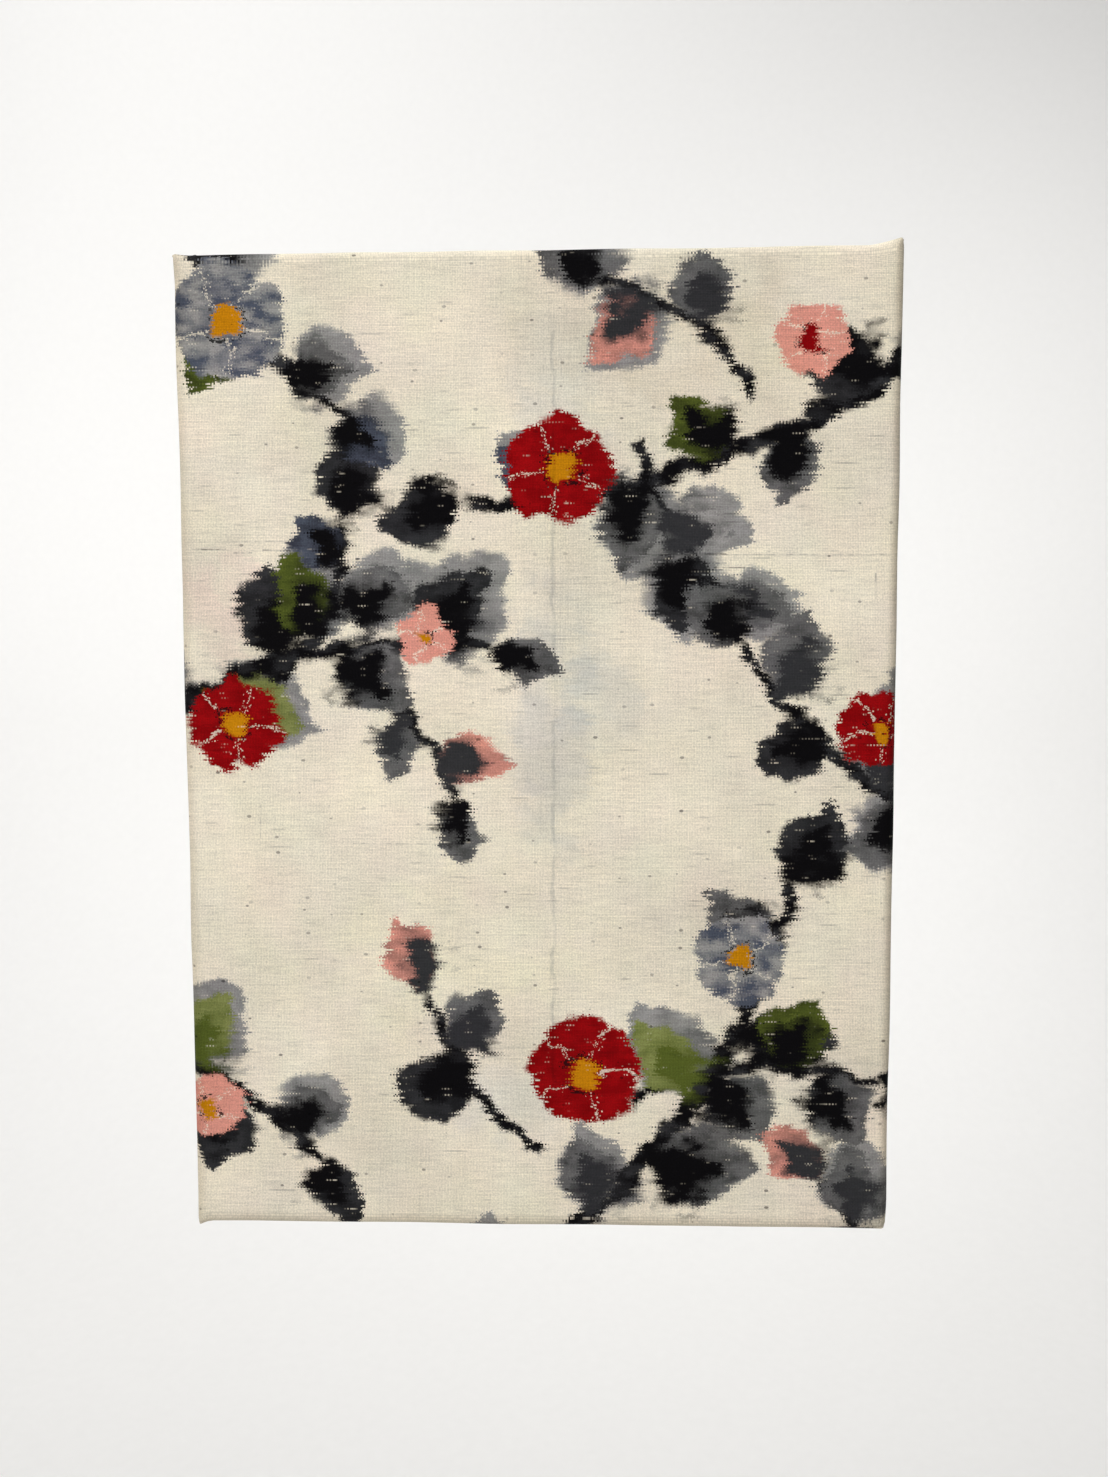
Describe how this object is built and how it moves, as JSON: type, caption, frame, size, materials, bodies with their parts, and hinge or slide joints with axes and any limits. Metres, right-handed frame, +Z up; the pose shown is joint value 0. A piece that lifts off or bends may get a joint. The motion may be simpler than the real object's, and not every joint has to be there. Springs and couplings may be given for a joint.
{
  "type": "fabric art panel on a wooden stretcher frame",
  "caption": "Flat wall panel of kasuri-dyed cloth stretched over a mitred wooden frame and folded onto its back, hung on a hook under the top bar.",
  "frame": {"origin": "middle of the top stretcher bar's underside, where a wall hook carries the panel", "axes": "+Z up, +Y towards the wall, -Y towards the viewer, +X to the viewer's right"},
  "size_m": [0.2446, 0.0218, 0.3395],
  "materials": {
    "cloth": "matt plain-weave cloth, ivory with kasuri-dyed black, grey, slate, crimson, olive, ochre and salmon",
    "wood": "planed, unfinished softwood"
  },
  "bodies": {
    "root": {"cloth": "cloth", "bar_top": "wood", "bar_bottom": "wood", "bar_left": "wood", "bar_right": "wood"}
  },
  "joints": []
}
